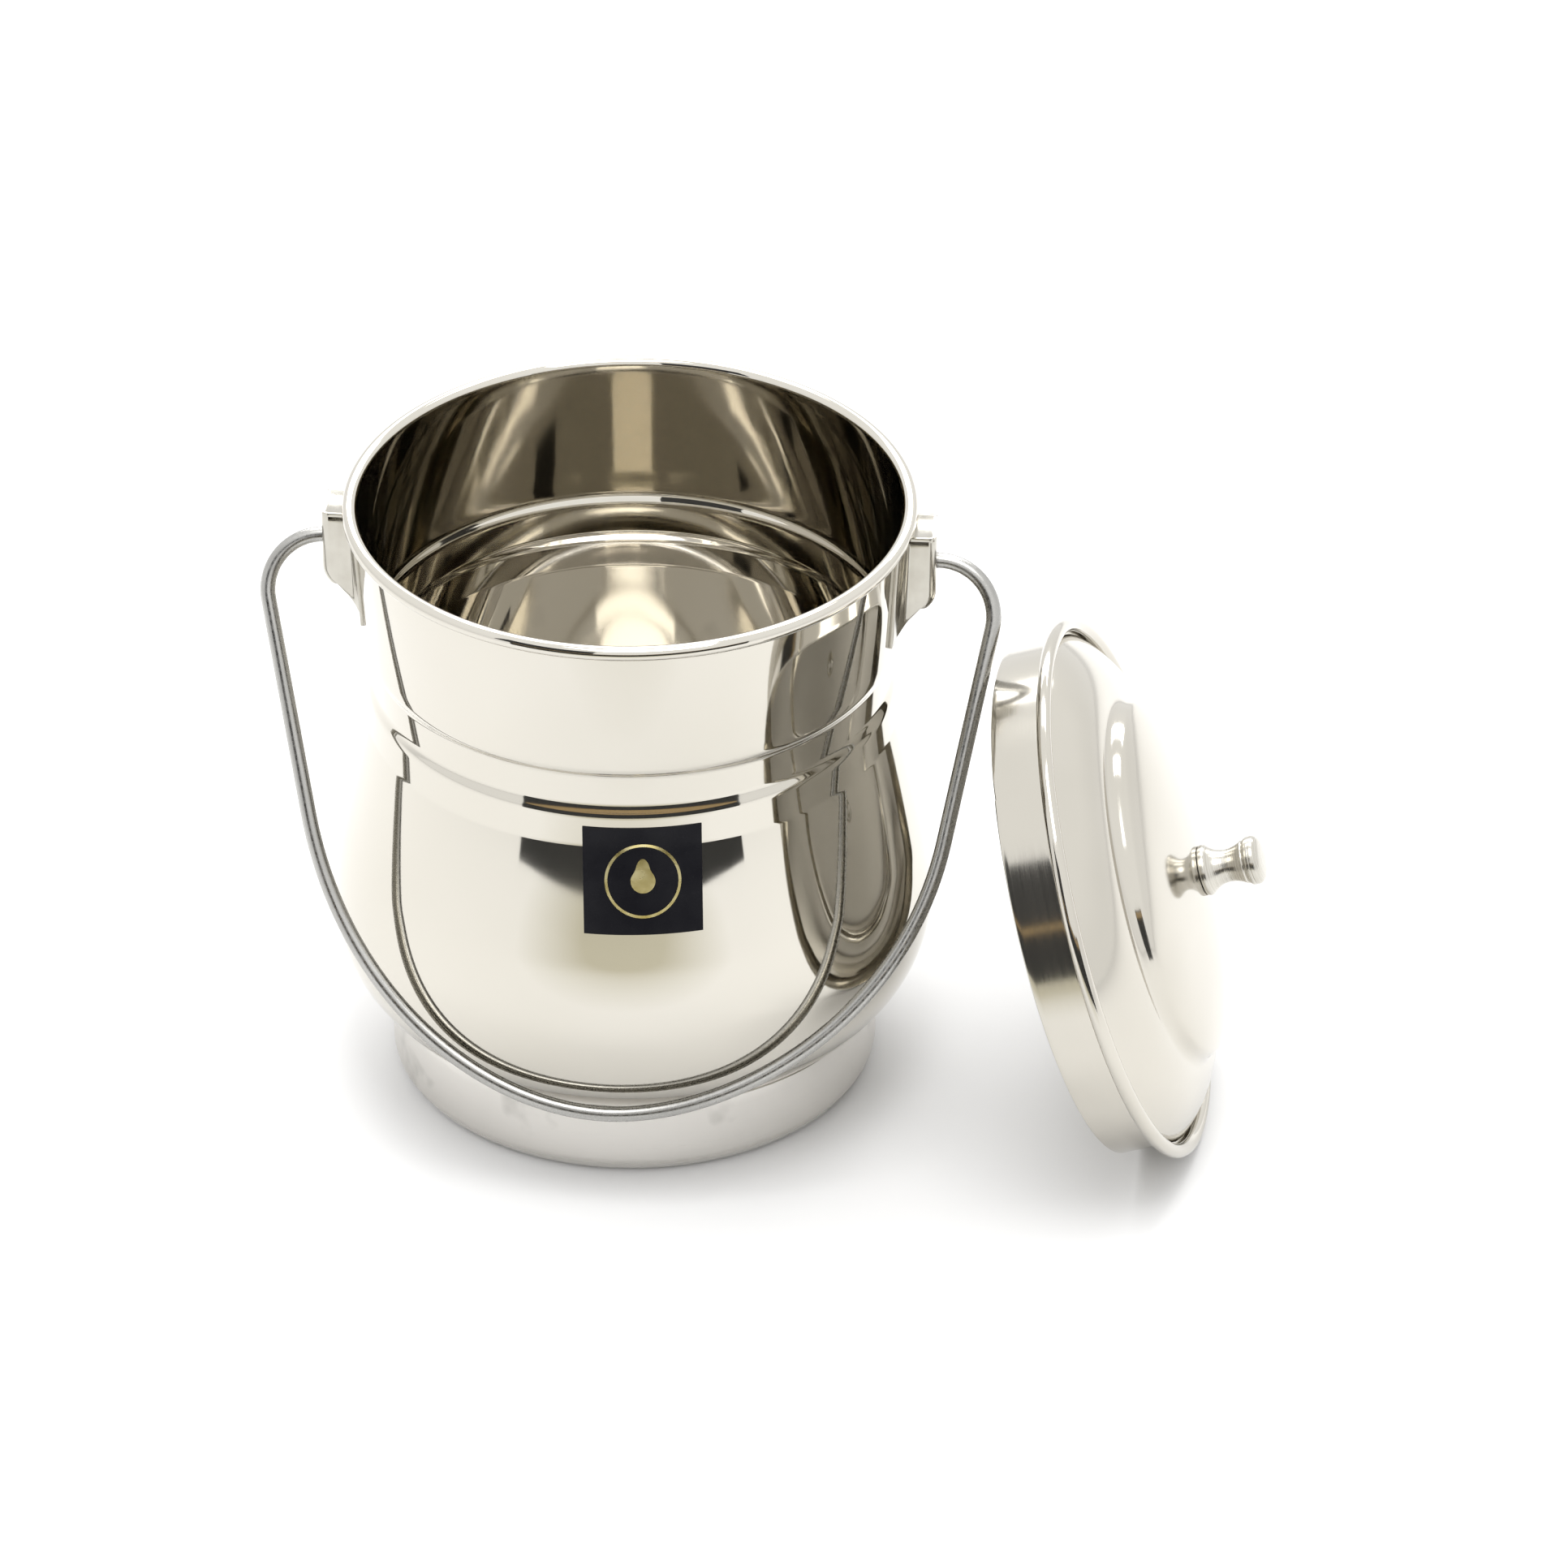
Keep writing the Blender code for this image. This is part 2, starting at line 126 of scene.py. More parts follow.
# Label: its width along the belly, its heights, its turn from the front, and how far its two
# sides and the two sides of its foil stand off the belly
LABEL_WIDTH, LABEL_FOOT, LABEL_TOP = 29.0, 78.2, 105.2
LABEL_TURN = math.radians(7.6)
LABEL_UNDER, LABEL_OVER = 0.02, 0.28
FOIL_UNDER, FOIL_OVER = 0.26, 0.36
RING_INNER, RING_OUTER = 8.6, 9.3
DROP_RADIUS, DROP_POINT, DROP_TAPER = 3.0, 2.6, 0.42

# Studio, in metres, and camera, in the design's millimetres
# The floor's colour, then the colour of the painted shade laid on the floor, which only reflections
# show
FLOOR_COLOUR, PAINTED_SHADE_COLOUR = (0.78, 0.78, 0.78), (0.46, 0.44, 0.35)
DARK, BROWN = (0.02, 0.02, 0.02), (0.30, 0.21, 0.10)
SKY_RISE = (0.1, 0.45, 1.2, 1.3)  # between two sines above the horizon, from and to a strength
LIGHT_AIM = Vector((0.0, 0.0, 0.08))
CAMERA_TURN, CAMERA_RISE = math.radians(4.67), math.radians(32.71)
CAMERA_DISTANCE, CAMERA_AIM = 2575.3, Vector((37.33, 2.49, 76.5))
CAMERA_LENS = 239.4


# ---------------------------------------------------------------- outlines


def bezier(corners, steps):
    """Points along a cubic curve given by its four corners, both ends included."""
    t = np.linspace(0.0, 1.0, steps + 1)[:, None]
    a, b, c, d = (np.array(corner, float) for corner in corners)
    return (1 - t) ** 3 * a + 3 * t * (1 - t) ** 2 * b + 3 * t * t * (1 - t) * c + t**3 * d


def arc(centre, radius, start, end, steps):
    """Points round a centre, with angles in degrees from the outward direction."""
    angles = np.radians(np.linspace(start, end, steps + 1))
    return np.array(centre) + radius * np.stack([np.cos(angles), np.sin(angles)], axis=1)


def joined(*parts):
    """One path from several, without the repeated points where they meet."""
    points = [tuple(p) for part in parts for p in part]
    kept = [points[0]]
    for point in points[1:]:
        if math.dist(point, kept[-1]) > 1e-4:
            kept.append(point)
    return np.array(kept)


def offset(path, distance):
    """The path moved sideways, to its left when distance is positive."""
    along = np.gradient(path, axis=0)
    along /= np.linalg.norm(along, axis=1)[:, None]
    return path + distance * np.stack([-along[:, 1], along[:, 0]], axis=1)


def round_end(path, half, first):
    """The half-round edge of a sheet at one end of its middle path."""
    end = path[0] if first else path[-1]
    inner = path[1] if first else path[-2]
    away = (end - inner) / np.linalg.norm(end - inner)
    side = np.array([-away[1], away[0]])
    angles = np.radians([60.0, 30.0, 0.0, -30.0, -60.0])
    return [end + half * (math.cos(a) * away + math.sin(a) * side) for a in angles]


def sheet_outline(middle, open_start=True):
    """The closed outline of a sheet round its middle path. It runs round to the right."""
    half = SHEET / 2
    left, right = offset(middle, half), offset(middle, -half)
    outline = list(left) + round_end(middle, half, first=False) + list(right[::-1])
    if open_start:
        outline += round_end(middle, half, first=True)
    return np.array(outline)


# ---------------------------------------------------------------- meshes


def mesh_of(name, bm):
    """A mesh from a bmesh, which is freed."""
    mesh = bpy.data.meshes.new(name)
    bm.to_mesh(mesh)
    bm.free()
    return mesh


def new_object(name, data):
    made = bpy.data.objects.new(name, data)
    bpy.context.scene.collection.objects.link(made)
    return made


def add_piece(name, mesh, material, body, nodes=(), sharp=35.0):
    """Makes a piece of a mesh whose points are in the frame's metres."""
    mesh.materials.clear()
    mesh.materials.append(material)
    mesh.shade_smooth()
    mesh.set_sharp_from_angle(angle=math.radians(sharp))
    piece = new_object(name, mesh)
    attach(piece, body)
    if nodes:
        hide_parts(*nodes)
    return piece


def swept_grid(rows, closed_rows, closed_columns, lengths):
    """A bmesh over rows of points. Its UVs are the share of rows passed and a column's length."""
    bm = bmesh.new()
    uv = bm.loops.layers.uv.new("turned")
    grid = [[bm.verts.new(p) for p in row] for row in rows]
    row_count, column_count = len(grid), len(grid[0])
    last_row = row_count if closed_rows else row_count - 1
    last_column = column_count if closed_columns else column_count - 1
    for i in range(last_row):
        for j in range(last_column):
            corners = ((i, j), (i + 1, j), (i + 1, j + 1), (i, j + 1))
            verts = [grid[a % row_count][b % column_count] for a, b in corners]
            face = bm.faces.new(verts)
            for loop, (a, b) in zip(face.loops, corners):
                loop[uv].uv = (a / row_count, lengths[b])
    return bm


def weld(bm):
    """Joins points that coincide, as on an axis, and turns the faces outward."""
    bmesh.ops.remove_doubles(bm, verts=bm.verts, dist=1e-7)
    bmesh.ops.dissolve_degenerate(bm, edges=bm.edges, dist=1e-8)
    bmesh.ops.recalc_face_normals(bm, faces=bm.faces)


def turned_row(outline, place, angle):
    """An outline of (radius, height) as points in metres, at a turn about the Z of place."""
    points = [(r * math.cos(angle), r * math.sin(angle), z) for r, z in outline]
    return [place @ (Vector(point) * MM) for point in points]


def lathe(outline, steps=TURN_STEPS, place=Matrix.Identity(4), closed=True):
    """A bmesh turned about the Z of place from an outline of (radius, height)."""
    rows = [turned_row(outline, place, math.tau * i / steps) for i in range(steps)]
    following = np.roll(outline, -1, axis=0)
    lengths = np.concatenate([[0.0], np.cumsum(np.linalg.norm(following - outline, axis=1))])
    bm = swept_grid(rows, True, closed, lengths)
    weld(bm)
    return bm


def close_strip_ends(bm, columns):
    """Closes the first and last rows of a strip whose rows run out along it and back."""
    bm.verts.ensure_lookup_table()
    half = columns // 2
    for start in (0, len(bm.verts) - columns):
        for k in range(half - 1):
            quad = (k, k + 1, columns - 2 - k, columns - 1 - k)
            bm.faces.new([bm.verts[start + q] for q in quad])
    bmesh.ops.recalc_face_normals(bm, faces=bm.faces)


def close_bar_ends(bm, columns):
    """Closes the first and last rows of a bar with one face each."""
    points = list(bm.verts)
    for in_order in (points, points[::-1]):
        bm.faces.new(in_order[:columns])
    bmesh.ops.recalc_face_normals(bm, faces=bm.faces)


def tube(path, radius, across, sides=28):
    """A bmesh of a round bar along a flat path whose plane has the normal across."""
    end_sizes = (0.72, 0.93, 1.0)
    angles = [math.tau * k / sides for k in range(sides)]
    rows = []
    for i, point in enumerate(path):
        along = (path[min(i + 1, len(path) - 1)] - path[max(i - 1, 0)]).normalized()
        outward = along.cross(across)
        from_end = min(i, len(path) - 1 - i, len(end_sizes) - 1)
        size = radius * end_sizes[from_end]
        rows.append([point + size * (math.cos(a) * outward + math.sin(a) * across) for a in angles])
    bm = swept_grid(rows, False, True, [k / sides for k in range(sides + 1)])
    close_bar_ends(bm, sides)
    return bm


# ---------------------------------------------------------------- materials


CAN_DIM, CAN_BRIGHT = (0.565, 0.54, 0.48), (0.60, 0.575, 0.52)
LID_DIM, LID_BRIGHT = (0.52, 0.495, 0.44), (0.56, 0.535, 0.48)
INSIDE_ROUGHNESS = 0.06


def new_material(name, colour, roughness, metallic=1.0):
    """A plain material. Patterns may then vary its colour and roughness."""
    material = bpy.data.materials.new(name)
    material.use_nodes = True
    shader = material.node_tree.nodes["Principled BSDF"]
    shader.inputs["Base Color"].default_value = (*colour, 1.0)
    shader.inputs["Roughness"].default_value = roughness
    shader.inputs["Metallic"].default_value = metallic
    return material


def add_node(material, kind, **inputs):
    """A new node, with the values of its named inputs."""
    node = material.node_tree.nodes.new(kind)
    for name, value in inputs.items():
        node.inputs[name.replace("_", " ")].default_value = value
    return node


def link(material, output, target):
    material.node_tree.links.new(output, target)


def noise(material, scale, detail=3.0, stretch=None, from_uv=False):
    """The output of a noise pattern, stretched along its axes if asked."""
    coordinates = add_node(material, "ShaderNodeTexCoord")
    source = coordinates.outputs["UV" if from_uv else "Object"]
    pattern = add_node(material, "ShaderNodeTexNoise", Scale=scale, Detail=detail)
    if stretch:
        mapping = add_node(material, "ShaderNodeMapping", Scale=stretch)
        link(material, source, mapping.inputs["Vector"])
        source = mapping.outputs["Vector"]
    link(material, source, pattern.inputs["Vector"])
    return pattern.outputs["Fac"]


def vary(material, pattern, socket, low, high, start=0.3, end=0.7):
    """Drives a socket between two values, numbers or colours, by a pattern."""
    shader = material.node_tree.nodes["Principled BSDF"]
    if isinstance(low, tuple):
        ramp = add_node(material, "ShaderNodeValToRGB")
        for element, position, colour in zip(ramp.color_ramp.elements, (start, end), (low, high)):
            element.position = position
            element.color = (*colour, 1.0)
        link(material, pattern, ramp.inputs["Fac"])
        link(material, ramp.outputs["Color"], shader.inputs[socket])
        return
    spread = add_node(material, "ShaderNodeMapRange")
    for name, value in (("From Min", start), ("From Max", end), ("To Min", low), ("To Max", high)):
        spread.inputs[name].default_value = value
    link(material, pattern, spread.inputs["Value"])
    link(material, spread.outputs["Result"], shader.inputs[socket])


def bump(material, pattern, height):
    """Fine relief from a pattern. The height is in millimetres."""
    shader = material.node_tree.nodes["Principled BSDF"]
    relief = add_node(material, "ShaderNodeBump", Strength=1.0, Distance=height * MM)
    link(material, pattern, relief.inputs["Height"])
    link(material, relief.outputs["Normal"], shader.inputs["Normal"])


def mirror_steel():
    """The can's polish, with faint smears and a slow change of tint."""
    material = new_material("mirror_steel", CAN_BRIGHT, 0.04)
    smears = noise(material, 38.0, detail=4.0)
    vary(material, smears, "Roughness", 0.025, 0.07)
    tint = noise(material, 14.0, detail=2.0)
    vary(material, tint, "Base Color", CAN_DIM, CAN_BRIGHT)
    bump(material, noise(material, 55.0, detail=1.0), 0.02)
    return material


def satin_steel():
    """A satin wall outside and a polished inside, told apart by the foot's own attribute."""
    material = new_material("satin_steel", (0.58, 0.57, 0.55), 0.34)
    lines = noise(material, 1.0, detail=6.0, stretch=(3.0, 9.0, 1.0), from_uv=True)
    vary(material, lines, "Roughness", 0.27, 0.40)
    shader = material.node_tree.nodes["Principled BSDF"]
    satin = shader.inputs["Roughness"].links[0].from_socket
    polish = add_node(material, "ShaderNodeAttribute")
    polish.attribute_name = "polish"
    blend = add_node(material, "ShaderNodeMix", B=INSIDE_ROUGHNESS)
    link(material, polish.outputs["Fac"], blend.inputs["Factor"])
    link(material, satin, blend.inputs["A"])
    link(material, blend.outputs["Result"], shader.inputs["Roughness"])
    smudges = noise(material, 60.0, detail=3.0)
    vary(material, smudges, "Base Color", (0.53, 0.515, 0.485), (0.67, 0.65, 0.615), 0.26, 0.38)
    return material


def ear_steel():
    """Folded strip with a fine upright grain."""
    material = new_material("ear_steel", (0.66, 0.64, 0.58), 0.18)
    grain = noise(material, 400.0, detail=4.0, stretch=(1.0, 1.0, 0.15))
    vary(material, grain, "Roughness", 0.12, 0.24)
    bump(material, noise(material, 900.0, detail=3.0), 0.008)
    tint = noise(material, 120.0)
    vary(material, tint, "Base Color", (0.42, 0.40, 0.35), (0.52, 0.50, 0.45))
    return material


def drawn_wire():
    """Grey wire, streaked along its length and a little worn."""
    material = new_material("drawn_wire", (0.30, 0.30, 0.29), 0.3)
    streaks = noise(material, 1.0, detail=5.0, stretch=(14.0, 7.0, 1.0), from_uv=True)
    vary(material, streaks, "Base Color", (0.34, 0.335, 0.32), (0.46, 0.455, 0.435))
    wear = noise(material, 900.0, detail=4.0)
    vary(material, wear, "Roughness", 0.20, 0.36)
    bump(material, wear, 0.004)
    return material


def lid_steel(name, smooth, rough):
    """Polish that still shows the fine lines left by turning."""
    material = new_material(name, LID_BRIGHT, rough)
    lines = noise(material, 1.0, detail=8.0, stretch=(0.5, 5.0, 1.0), from_uv=True)
    vary(material, lines, "Roughness", smooth, rough)
    bump(material, lines, 0.004)
    tint = noise(material, 25.0, detail=2.0)
    vary(material, tint, "Base Color", LID_DIM, LID_BRIGHT)
    return material


def turned_steel():
    """The knob's steel, with the rings its tool left."""
    material = new_material("turned_steel", (0.60, 0.58, 0.54), 0.2)
    rings = noise(material, 1.0, detail=4.0, stretch=(0.4, 4.5, 1.0), from_uv=True)
    vary(material, rings, "Roughness", 0.16, 0.30)
    bump(material, rings, 0.03)
    vary(material, rings, "Base Color", (0.44, 0.42, 0.37), (0.60, 0.58, 0.53))
    return material


def label_black():
    """Matt black film that hardly shines."""
    material = new_material("label_black", (0.012, 0.012, 0.014), 0.28, metallic=0.0)
    material.node_tree.nodes["Principled BSDF"].inputs["Specular IOR Level"].default_value = 0.06
    grain = noise(material, 300.0, detail=2.0)
    vary(material, grain, "Roughness", 0.22, 0.34)
    vary(material, noise(material, 90.0), "Base Color", (0.006, 0.006, 0.008), (0.011, 0.011, 0.013))
    return material


def gold_foil():
    """Pale gold, brushed unevenly."""
    material = new_material("gold_foil", (0.80, 0.68, 0.32), 0.25)
    sheen = noise(material, 250.0)
    vary(material, sheen, "Base Color", (0.70, 0.58, 0.22), (0.88, 0.80, 0.48))
    vary(material, sheen, "Roughness", 0.18, 0.32)
    return material


# ---------------------------------------------------------------- the can


def leaning_wall():
    """The wall from the belly to the step, built up from its leans."""
    count, coarse = 400, 12
    heights = np.linspace(LEANS[0][0], LEANS[-1][0], count)
    slopes = np.tan(np.radians(np.interp(heights, *zip(*LEANS))))
    steps = (slopes[1:] + slopes[:-1]) / 2 * np.diff(heights)
    inward = np.concatenate([[0.0], np.cumsum(steps)])
    radii = BAND_TOP[0] + inward[-1] - inward
    kept = [i for i in range(count) if i % coarse == 0 or heights[i] > GROOVE_FROM]
    return np.stack([radii, heights], axis=1)[kept]


def wall_outside():
    """Outer side of the can's wall from the seam to the foot of the rim's roll."""
    leaning = leaning_wall()
    belly = bezier((BELLY_FOOT, *BELLY_PULL, leaning[0]), 44)
    neck_top = (RIM_RADIUS - 2 * ROLL_RADIUS + SHEET, DESIGN_RIM_TOP - ROLL_RADIUS)
    neck = np.linspace(STEP[-1], neck_top, 16)
    return joined(belly, leaning, bezier(STEP, 16), neck)


OUTSIDE = wall_outside()


def wall_radius(height):
    """Outer radius of the wall at a height, in millimetres."""
    return float(np.interp(height, OUTSIDE[:, 1], OUTSIDE[:, 0]))


def make_body(material):
    """The can above its foot: one sheet from the seam to the end of the rim's roll."""
    middle = offset(OUTSIDE, SHEET / 2)
    centre = (RIM_RADIUS - ROLL_RADIUS, DESIGN_RIM_TOP - ROLL_RADIUS)
    roll = arc(centre, ROLL_RADIUS - SHEET / 2, ROLL_START, ROLL_END, 30)
    mesh = mesh_of("body", lathe(sheet_outline(joined(middle[:-1], roll))))
    add_piece("body", mesh, material, "can", ["body_shell"])


def make_foot(material):
    """The foot, a shallow cup, with an attribute that tells its polished inside."""
    corner_centre = (FOOT_RADIUS - FOOT_CORNER, FOOT_CORNER)
    corner = arc(corner_centre, FOOT_CORNER - SHEET / 2, -90.0, 0.0, 14)
    bottom = np.linspace((0.0, SHEET / 2), corner[0], 16)
    wall = np.linspace(corner[-1], (FOOT_RADIUS - SHEET / 2, FOOT_TOP - SHEET / 2), 8)
    outline = sheet_outline(joined(bottom, corner, wall), open_start=False)
    mesh = mesh_of("foot", lathe(outline, closed=False))
    polish = mesh.attributes.new("polish", "FLOAT", "POINT")
    past_middle = 0.6 * SHEET
    inner_radius, inner_floor = (FOOT_RADIUS - past_middle) * MM, past_middle * MM
    for vertex, value in zip(mesh.vertices, polish.data):
        inside = vertex.co.xy.length < inner_radius and vertex.co.z > inner_floor
        value.value = 1.0 if inside else 0.0
    add_piece("foot", mesh, material, "can", ["foot_cup"])


# ---------------------------------------------------------------- ears


def ear_path():
    """Middle of the bracket's sheet in plan, for the ear on the +X side."""
    wing_radius = wall_radius(EAR_TOP) + EAR_SHEET / 2
    half = EAR_HALF_WIDTH - EAR_SHEET / 2
    flange_angle = math.asin((half + EAR_BEND) / wing_radius)
    wing_angles = np.degrees(np.linspace(WING_ANGLE, flange_angle, 7))
    wing = [arc((0.0, 0.0), wing_radius, a, a, 0)[0] for a in wing_angles]
    root_centre = (wing_radius + EAR_BEND, half + EAR_BEND)
    root = arc(root_centre, EAR_BEND, ROOT_START, 270.0, 7)
    face = EAR_REACH - EAR_SHEET / 2
    corner = arc((face - EAR_BEND, half - EAR_BEND), EAR_BEND, 90.0, 0.0, 8)
    side = joined(wing, root, corner)
    return joined(side, side[::-1] * np.array([1.0, -1.0]))


def ear_strip():
    """The folded strip of an ear. Its wings lean with the neck and reach below its face."""
    middle = ear_path()
    outside, inside = offset(middle, EAR_SHEET / 2), offset(middle, -EAR_SHEET / 2)
    corner = EAR_REACH - EAR_SHEET - EAR_BEND
    wing = wall_radius(EAR_TOP) + EAR_SHEET
    rows = []
    for share in np.linspace(0.0, 1.0, 17):
        row = []
        for point in [*outside, *inside[::-1]]:
            # 0 at the face and 1 at the wings
            nearness = min(1.0, max(0.0, (corner - math.hypot(*point)) / (corner - wing))) ** 2
            foot = EAR_FOOT - WING_DROP * nearness
            height = foot + (EAR_TOP - foot) * share
            lean = nearness * (wall_radius(height) - wall_radius(EAR_TOP))
            low = max(0.0, 1.0 - (height - EAR_FOOT) / EAR_TUCK_HEIGHT)
            tuck = EAR_TUCK * low**2 if point[0] > corner else 0.0
            row.append(Vector((point[0] + lean - tuck, point[1], height)) * MM)
        rows.append(row)
    columns = len(rows[0])
    bm = swept_grid(rows, False, True, [0.0] * (columns + 1))
    close_strip_ends(bm, columns)
    bmesh.ops.triangulate(bm, faces=bm.faces)
    return bm


def block(low, high):
    """A bmesh of the box between two corners."""
    bm = bmesh.new()
    bmesh.ops.create_cube(bm, size=1.0)
    low, high = Vector(low), Vector(high)
    middle = (low + high) / 2
    for vertex in bm.verts:
        vertex.co = Vector([vertex.co[k] * (high[k] - low[k]) + middle[k] for k in range(3)]) * MM
    return bm


def round_bar(radius, length, centre, sides=32):
    """A bmesh of a cylinder along X."""
    bm = bmesh.new()
    turn = Vector((1.0, 0.0, 0.0)).to_track_quat("Z", "Y").to_matrix().to_4x4()
    sizes = {"radius1": radius * MM, "radius2": radius * MM, "depth": length * MM}
    bmesh.ops.create_cone(bm, cap_ends=True, segments=sides, matrix=turn, **sizes)
    bmesh.ops.translate(bm, vec=Vector(centre) * MM, verts=bm.verts)
    return bm


def ear_tools():
    """What is added to and cut from an ear's strip: folded top, slit and hole."""
    inner, past_side = EAR_HALF_WIDTH - EAR_SHEET / 2, EAR_HALF_WIDTH + 1.0
    fold_foot, fold_top = EAR_TOP - EAR_SHEET, EAR_TOP - 0.02
    fold = block((FOLD_INNER, -inner, fold_foot), (EAR_REACH - EAR_SHEET / 2, inner, fold_top))
    slit = block(
        (SLIT_INNER, -past_side, fold_foot - EAR_SHEET), (SLIT_OUTER, past_side, fold_foot)
    )
    hole = round_bar(WIRE_RADIUS + PIVOT_PLAY, 4.0, (EAR_REACH, 0.0, PIVOT.z / MM))
    return (("UNION", fold), ("DIFFERENCE", slit), ("DIFFERENCE", hole))


def make_ear(name, side, node, material):
    """One ear. It is made on the +X side, and turned half round for the other."""
    work = new_object(f"{name}_work", mesh_of(name, ear_strip()))
    tools = []
    for operation, bm in ear_tools():
        tool = new_object(f"{name}_tool", mesh_of(f"{name}_tool", bm))
        tools.append(tool)
        modifier = work.modifiers.new(operation, "BOOLEAN")
        modifier.operation = operation
        modifier.object = tool
    edge = work.modifiers.new("Edge", "BEVEL")
    edge.width = EAR_EDGE * MM
    edge.segments = 2
    edge.limit_method = "ANGLE"
    edge.angle_limit = math.radians(50.0)
    graph = bpy.context.evaluated_depsgraph_get()
    mesh = bpy.data.meshes.new_from_object(work.evaluated_get(graph))
    if side < 0:
        mesh.transform(Matrix.Rotation(math.pi, 4, "Z"))
    for used in (work, *tools):
        bpy.data.objects.remove(used, do_unlink=True)
    add_piece(name, mesh, material, "can", [node], sharp=60.0)


# ---------------------------------------------------------------- bail


def bail_arm(half_span, radius, slope, arm_end, pull):
    """One arm's middle line as (half span, drop), from its end in the ear to the bow."""
    bend = arc((half_span, radius), radius, -90.0, slope, 24)
    along = np.array([-math.sin(math.radians(slope)), math.cos(math.radians(slope))])
    foot = bend[-1] + along * (arm_end - bend[-1][1]) / along[1]
    stub = np.linspace((BAIL_STUB_END, 0.0), bend[0], 6)
    arm = np.linspace(bend[-1], foot, 14)
    bow = bezier((foot, foot + along * pull, (BAIL_BOW_PULL, BAIL_DROP), (0.0, BAIL_DROP)), 44)
    return joined(stub, bend, arm, bow)


def make_bail(material):
    """The wire as it hangs at rest, at the lean that its packed box shows."""
    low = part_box("bail_wire")[0]
    hang = math.atan2(-low.y - WIRE_RADIUS * MM, PIVOT.z - low.z - WIRE_RADIUS * MM)
    down = Vector((0.0, -math.sin(hang), -math.cos(hang)))
    left = bail_arm(*LEFT_ARM) * np.array([-1.0, 1.0])
    line = joined(bail_arm(*RIGHT_ARM), left[::-1])
    path = [PIVOT + Vector((span, 0.0, 0.0)) * MM + down * (drop * MM) for span, drop in line]
    across = Vector((1.0, 0.0, 0.0)).cross(down)
    mesh = mesh_of("bail", tube(path, WIRE_RADIUS * MM, across))
    add_piece("bail", mesh, material, "bail", ["bail_wire"])


# ---------------------------------------------------------------- label


def on_belly(across, height, lift):
    """A point on the belly: millimetres across from the label's middle, height and lift."""
    radius = wall_radius(height) + lift
    angle = LABEL_TURN + across / radius
    return Vector((radius * math.sin(angle), -radius * math.cos(angle), height)) * MM


def make_label(black):
    """A thin square film that follows the belly."""
    widths = np.linspace(-LABEL_WIDTH / 2, LABEL_WIDTH / 2, 25)
    heights = np.linspace(LABEL_FOOT, LABEL_TOP, 25)
    outline = [(h, LABEL_OVER) for h in heights] + [(h, LABEL_UNDER) for h in heights[::-1]]
    rows = [[on_belly(width, height, lift) for height, lift in outline] for width in widths]
    bm = swept_grid(rows, False, True, [0.0] * (len(outline) + 1))
    close_strip_ends(bm, len(outline))
    add_piece("label", mesh_of("label", bm), black, "can", ["front_label"])


def foil_shape(name, inner, outer, material, rows=4):
    """A thin foil between two outlines, each a function of the angle that gives a radius."""
    centre_height = (LABEL_TOP + LABEL_FOOT) / 2
    steps = 96
    shares = [k / rows for k in range(rows + 1)]
    loops = [(FOIL_OVER, share) for share in shares] + [(FOIL_UNDER, share) for share in shares[::-1]]
    grid = []
    for angle in [math.tau * i / steps for i in range(steps)]:
        row = []
        for lift, share in loops:
            radius = inner(angle) + (outer(angle) - inner(angle)) * share
            height = centre_height + radius * math.cos(angle)
            row.append(on_belly(radius * math.sin(angle), height, lift))
        grid.append(row)
    bm = swept_grid(grid, True, True, [0.0] * (len(loops) + 1))
    weld(bm)
    add_piece(name, mesh_of(name, bm), material, "can")


def drop_outline(angle):
    """A plain drop: round at its foot and drawn to a point at its top."""
    from_top = math.remainder(angle, math.tau)
    return DROP_RADIUS + DROP_POINT * math.exp(-((from_top / DROP_TAPER) ** 2))


def make_mark(gold):
    """A plain ring round a drop, in place of the label's print."""
    foil_shape("mark_drop", lambda a: 0.0, drop_outline, gold)
    foil_shape("mark_ring", lambda a: RING_INNER, lambda a: RING_OUTER, gold, rows=1)


# ---------------------------------------------------------------- lid


def lid_place():
    """The lid's own frame: Z is its axis, out through the knob, and Y is level."""
    points = np.array([vertex.co for vertex in frame["nodes"]["lid_skirt"].data.vertices])
    spread = np.linalg.svd(points - points.mean(axis=0), full_matrices=False)[2]
    axis = Vector(spread[2])  # the way in which the skirt's points spread least
    knob_low, knob_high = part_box("lid_knob")
    skirt_low, skirt_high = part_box("lid_skirt")
    skirt_middle = (skirt_low + skirt_high) / 2
    if axis.dot((knob_low + knob_high) / 2 - skirt_middle) < 0:
        axis.negate()
    level = Vector((0.0, 0.0, 1.0)).cross(axis).normalized()
    turn = Matrix((level.cross(axis), level, axis)).transposed().to_4x4()
    origin = skirt_middle - axis * ((SKIRT_TOP + SKIRT_FOOT) / 2 * MM)
    return Matrix.Translation(origin) @ turn


def make_lid_shell(material, place):
    """Dome, step, lower ring and rolled edge: one sheet, with the screw's hole in its middle."""
    dome = bezier(DOME, 30)
    dome = dome[dome[:, 0] > LID_HOLE]
    outside = joined([(LID_HOLE, DOME[0][1])], dome, bezier(LID_STEP, 14), bezier(ANNULUS, 24))
    middle = offset(outside, -SHEET / 2)
    roll_centre = (LID_RADIUS - ROLL_RADIUS, 0.0)
    roll = arc(roll_centre, ROLL_RADIUS - SHEET / 2, LID_ROLL_START, LID_ROLL_END, 26)
    mesh = mesh_of("lid", lathe(sheet_outline(joined(middle, roll)), place=place))
    add_piece("lid", mesh, material, "lid", ["lid_shell"])


